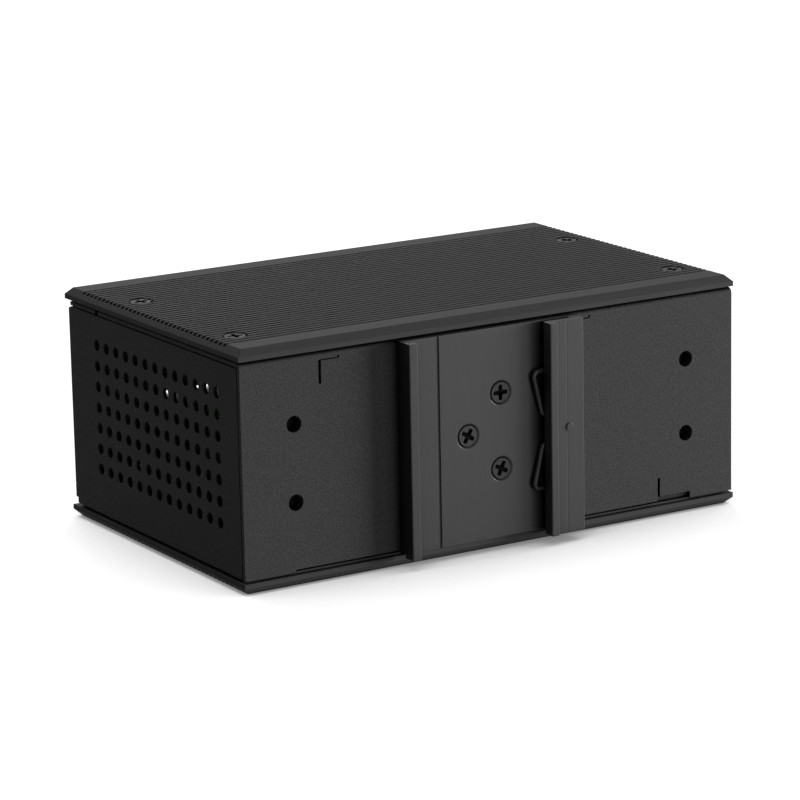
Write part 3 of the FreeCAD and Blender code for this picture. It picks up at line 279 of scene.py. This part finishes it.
# spots are (across, along) in the axes of a face, whose last axis points out of it; turns are in degrees
coverSpots = ((-53.4, -24.6), (-53.4, 15.4), (53.4, -24.6), (53.4, 15.4))
sunkGroups = {
    "top_cover_screws": {"axes": ((1, 0, 0), (0, 1, 0), (0, 0, 1)), "out": 50.0,
                         "spots": coverSpots, "turns": (82, 12, 85, 8)},
    "bottom_cover_screws": {"axes": ((-1, 0, 0), (0, 1, 0), (0, 0, -1)), "out": 0.0,
                            "spots": coverSpots, "turns": (75, 15, 50, 30)},
    "rail_clip_screws": {"axes": ((1, 0, 0), (0, 0, 1), (0, -1, 0)), "out": 39.25,
                         "spots": ((-8.1, 25.38), (-0.1, 33.38), (-0.1, 17.38)), "turns": (58, 0, 63)},
}


def sunkHead(turn):
    head, shank, end = sunkScrew["head"] / 2, sunkScrew["shank"] / 2, -sunkScrew["length"]
    edge, rim, wall, tip = (sunkScrew[key] for key in ("round", "rim", "wall", "tip"))
    fine = np.linspace(0, sunkScrew["drive"]["span"] / 2 + sunkScrew["land"], sunkScrew["rings"])
    top = np.concatenate([fine, [head - sunkScrew["band"], head - rim]])
    skirt = [(head - edge, -edge), (head, -rim), (head, -wall), (shank, -wall - head + shank),
             (shank, end + tip), (shank - tip, end), (0, end)]
    points, faces = turnedHead(top, np.zeros_like, skirt, sunkScrew["drive"], turn)
    return points - [0, 0, sunkScrew["sunk"]], faces


def makeSunkScrews(name, group):
    axes = np.array(group["axes"], float)
    parts = []
    for (across, along), turn in zip(group["spots"], group["turns"]):
        points, faces = sunkHead(turn)
        spot = across * abs(axes[0]) + along * axes[1] + group["out"] * axes[2]
        parts.append((points @ axes + spot, faces))
    points, faces = joined(parts)
    addPiece("cross_" + name, points, faces, "blackZincSteel", (name,))


frontAxes = np.array([(-1, 0, 0), (0, 0, 1), (0, 1, 0)], float)  # across, up and out of the front face

# grounding screw: pan head whose edge falls off as a quarter ellipse outside its flat middle, with rings
# that come closer from "bend" to the rim
panScrew = {"at": (-51.5, 38.05, 25.0), "head": 7.4, "tall": 2.4, "edge": 0.9, "flat": 3.4, "bend": 2.6,
            "round": 0.1, "shank": 4.0, "length": 8.0, "tip": 0.5, "land": 0.2, "rings": 40,
            "bendRings": 12, "drive": {"span": 4.6, "slot": 1.0, "deep": 2.2, "soft": 0.12}, "turn": 20}


def makePanScrew():
    head, flat, shank = (panScrew[key] / 2 for key in ("head", "flat", "shank"))
    edge, tall, corner, tip = (panScrew[key] for key in ("edge", "tall", "round", "tip"))
    end = -panScrew["length"]

    def dome(radius):
        out = ((radius - flat) / (head - flat)).clip(0, 1)
        return edge + (tall - edge) * np.sqrt(1 - out * out)

    fine = np.linspace(0, panScrew["drive"]["span"] / 2 + panScrew["land"], panScrew["rings"])
    outer = head - (head - panScrew["bend"]) * np.linspace(1, 0, panScrew["bendRings"]) ** 2
    top = np.concatenate([fine, outer])
    skirt = [(head, corner), (head - corner, 0), (shank, 0), (shank, end + tip), (shank - tip, end),
             (0, end)]
    points, faces = turnedHead(top, dome, skirt, panScrew["drive"], panScrew["turn"])
    addPiece("pan_ground_screw", points @ frontAxes + panScrew["at"], faces, "brightZincSteel",
             ("ground_screw",))


# toothed washer below it: a ring whose outer radius swings between root and tip on a steep smooth step,
# each tooth twisted along its width; its section runs out over one face and back over the other
toothWasher = {"at": (-51.5, 37.25, 25.0), "bore": 4.1, "root": 6.6, "tip": 9.0, "teeth": 11, "steep": 1.6,
               "thick": 0.44, "twist": 0.17, "tall": 0.8, "steps": 24, "shares": (0, 0.35, 0.6, 0.8, 1.0)}


def makeToothWasher():
    bore, root, tip = (toothWasher[key] / 2 for key in ("bore", "root", "tip"))
    angle = np.linspace(0, 2 * np.pi, toothWasher["teeth"] * toothWasher["steps"], endpoint=False)
    phase = angle * toothWasher["teeth"]
    outside = root + (tip - root) * smoothStep(0.5 + toothWasher["steep"] * np.cos(phase))
    out = toothWasher["shares"]
    share = np.concatenate([out, out[::-1], out[:1]])[:, None]
    side = np.repeat([-1, 1, -1], [len(out), len(out), 1])[:, None]
    radius = bore + (outside - bore) * share
    twist = toothWasher["twist"] * np.sin(phase) * ((radius - root) / (tip - root)).clip(0, 1)
    height = toothWasher["tall"] / 2 + side * toothWasher["thick"] / 2 + twist
    points = np.stack([radius * np.cos(angle), height, radius * np.sin(angle)], axis=-1).reshape(-1, 3)
    addPiece("tooth_ground_washer", points + toothWasher["at"], gridFaces(len(share), len(angle)),
             "brightZincSteel", ("ground_washer",))


# socket springs: eight gold wires of oval section that lie level for a short stretch at each end and rise
# on a smooth step between, whose slope is six times the share run times the share left
socketSpring = {"middle": 20.0, "pitch": 1.02, "count": 8, "front": 33.0, "rear": 24.7, "level": 0.6,
                "floor": 12.95, "rise": 3.0, "wide": 0.42, "thick": 0.3, "rings": 40, "columns": 12}


def makeSocketSprings():
    front, rear, level, rise = (socketSpring[key] for key in ("front", "rear", "level", "rise"))
    y = np.concatenate([[front], np.linspace(front, rear, socketSpring["rings"]), [rear]])[:, None]
    length = front - rear - 2 * level
    run = (front - level - y) / length
    z = socketSpring["floor"] + rise * smoothStep(run)
    slope = -rise * 6 * (run * (1 - run)).clip(0, 1) / length
    size = np.ones_like(y)
    size[[0, -1]] = 0  # closed ends
    angle = np.linspace(0, 2 * np.pi, socketSpring["columns"], endpoint=False)
    across = socketSpring["wide"] / 2 * np.cos(angle) * size
    lift = socketSpring["thick"] / 2 * np.sin(angle) * size / np.sqrt(1 + slope * slope)
    one = np.stack([across, y - lift * slope, z + lift], axis=-1).reshape(-1, 3)
    faces = gridFaces(len(y), len(angle))
    count = socketSpring["count"]
    places = socketSpring["middle"] + (np.arange(count) - (count - 1) / 2) * socketSpring["pitch"]
    points, faces = joined([(one + [place, 0, 0], faces) for place in places])
    addPiece("bent_socket_springs", points, faces, "goldFlash", ("copper_port_contacts",))


# status lights: a cap of a ball on the end of each light pipe
lightEnd = {"x": 3.17, "low": 13.15, "pitch": 3.6, "count": 4, "face": 37.85, "size": 2.36, "tall": 0.5,
            "root": 0.2, "rings": 16, "columns": 48}


def makeLightEnds():
    half, tall, root = lightEnd["size"] / 2, lightEnd["tall"], lightEnd["root"]
    ball = (half * half + tall * tall) / (2 * tall)

    def dome(radius):
        return np.sqrt(ball * ball - radius * radius) - ball + tall

    top = half * np.sin(np.linspace(0, np.pi / 2, lightEnd["rings"]))
    one, faces = turnedHead(top, dome, [(half, -root), (0, -root)], None, 0, lightEnd["columns"])
    heights = lightEnd["low"] + np.arange(lightEnd["count"]) * lightEnd["pitch"]
    spots = [(lightEnd["x"], lightEnd["face"], height) for height in heights]
    points, faces = joined([(one @ frontAxes + spot, faces) for spot in spots])
    addPiece("domed_light_ends", points, faces, "clearAcrylic")


for name, group in sunkGroups.items():
    makeSunkScrews(name, group)
makePanScrew()
makeToothWasher()
makeSocketSprings()
makeLightEnds()
print("screws, washer, socket springs and light ends made")

# pale floor and soft studio light: white where the camera looks, with the object's shadow kept by "shade",
# which turns the share of open sky within "contact" into the floor's white
studio = {"floor": 6000, "drop": 0.1, "paper": "#808080", "contact": 45, "ambient": 0.01,
          "shade": ((0.0, 0.12), (0.34, 0.34), (0.46, 0.58), (0.6, 0.8), (0.7, 0.92), (0.8, 0.98),
                    (1.0, 1.0))}


def whenSeen(tree):  # 1 for camera, glossy and transmission rays, 0 for light on its way
    path = addNode(tree, "ShaderNodeLightPath")
    first = addNode(tree, "ShaderNodeMath", {"operation": "ADD", "use_clamp": True},
                    {0: path.outputs["Is Camera Ray"], 1: path.outputs["Is Glossy Ray"]})
    return addNode(tree, "ShaderNodeMath", {"operation": "ADD", "use_clamp": True},
                   {0: first.outputs[0], 1: path.outputs["Is Transmission Ray"]}).outputs[0]


def makeFloor():
    half = studio["floor"] / 2 * mm
    mesh = bpy.data.meshes.new("studioFloor")
    corners = [(-half, -half, 0), (half, -half, 0), (half, half, 0), (-half, half, 0)]
    mesh.from_pydata(corners, [], [(0, 1, 2, 3)])
    floor = bpy.data.objects.new("studioFloor", mesh)
    bpy.context.scene.collection.objects.link(floor)
    floor.location.z = -studio["drop"] * mm
    material = bpy.data.materials.new("studioPaper")
    material.use_nodes = True
    tree = material.node_tree
    tree.nodes.remove(tree.nodes["Principled BSDF"])
    paper = addNode(tree, "ShaderNodeBsdfDiffuse", {"Color": linear(studio["paper"])})
    near = addNode(tree, "ShaderNodeAmbientOcclusion", {"Distance": studio["contact"] * mm, "samples": 8})
    shade = addNode(tree, "ShaderNodeFloatCurve", {}, {"Value": near.outputs["AO"]})
    bend = shade.mapping.curves[0].points
    for spot, value in studio["shade"][1:-1]:
        bend.new(spot, value)
    bend[0].location, bend[len(bend) - 1].location = studio["shade"][0], studio["shade"][-1]
    shade.mapping.update()
    level = addNode(tree, "ShaderNodeMath", {"operation": "MULTIPLY"},
                    {0: whenSeen(tree), 1: shade.outputs["Value"]})
    glow = addNode(tree, "ShaderNodeEmission", {}, {"Strength": level.outputs[0]})
    both = addNode(tree, "ShaderNodeAddShader", {}, {0: paper.outputs[0], 1: glow.outputs[0]})
    tree.links.new(both.outputs[0], tree.nodes["Material Output"].inputs["Surface"])
    mesh.materials.append(material)


def makeWorld():
    world = bpy.data.worlds.new("studioWorld")
    bpy.context.scene.world = world
    world.use_nodes = True
    tree = world.node_tree
    back = tree.nodes["Background"]
    back.inputs["Color"].default_value = (1, 1, 1, 1)
    level = addNode(tree, "ShaderNodeMapRange", {"To Min": studio["ambient"], "To Max": 1.0},
                    {"Value": whenSeen(tree)})
    tree.links.new(level.outputs["Result"], back.inputs["Strength"])


# softboxes: where they stand, what they aim at, their size in millimetres and power
lamps = {
    "rightBox": {"at": (800, -450, 100), "aim": (0, -30, 25), "size": (480, 180), "watts": 11.3},
    "rearBox": {"at": (160, -930, 100), "aim": (0, -30, 25), "size": (900, 180), "watts": 2.8},
    "farTopBox": {"at": (80, 760, 800), "aim": (0, 0, 45), "size": (900, 600), "watts": 11.3},
}


def makeLamp(name, lamp):
    data = bpy.data.lights.new(name, "AREA")
    data.shape = "RECTANGLE"
    data.size, data.size_y = (edge * mm for edge in lamp["size"])
    data.energy = lamp["watts"]
    box = bpy.data.objects.new(name, data)
    box.location = Vector(lamp["at"]) * mm
    box.rotation_mode = "QUATERNION"
    box.rotation_quaternion = (Vector(lamp["aim"]) - Vector(lamp["at"])).to_track_quat("-Z", "Y")
    bpy.context.scene.collection.objects.link(box)


# camera solved from the case's corners: turn about +Z, height above the horizon, tilt, distance and lens;
# "right" and "up" move it across its own view, and "clip" is in metres
viewpoint = {"azimuth": -31.439, "elevation": 13.754, "roll": -1.167, "distance": 792.5, "lens": 167.36,
             "sensor": 36.0, "centre": (0, 0, 25.0), "right": -0.162, "up": -0.916, "clip": (0.01, 50.0)}


def makeCamera():
    turn, rise, roll = (math.radians(viewpoint[key]) for key in ("azimuth", "elevation", "roll"))
    back = Vector((math.sin(turn) * math.cos(rise), -math.cos(turn) * math.cos(rise), math.sin(rise)))
    right = Vector((0, 0, 1)).cross(back).normalized()
    up = back.cross(right)
    across = right * math.cos(roll) + up * math.sin(roll)
    upright = up * math.cos(roll) - right * math.sin(roll)
    place = Vector(viewpoint["centre"]) + back * viewpoint["distance"]
    place += across * viewpoint["right"] + upright * viewpoint["up"]
    lens = bpy.data.cameras.new("photoCamera")
    lens.lens, lens.sensor_width = viewpoint["lens"], viewpoint["sensor"]
    lens.clip_start, lens.clip_end = viewpoint["clip"]
    camera = bpy.data.objects.new("photoCamera", lens)
    facing = Matrix((across, upright, back)).transposed().to_4x4()
    camera.matrix_world = Matrix.Translation(place * mm) @ facing
    bpy.context.scene.collection.objects.link(camera)
    bpy.context.scene.camera = camera


makeFloor()
makeWorld()
for name, lamp in lamps.items():
    makeLamp(name, lamp)
makeCamera()
bpy.context.scene.view_settings.view_transform = "Standard"
print("studio ready")

bpy.context.view_layer.update()
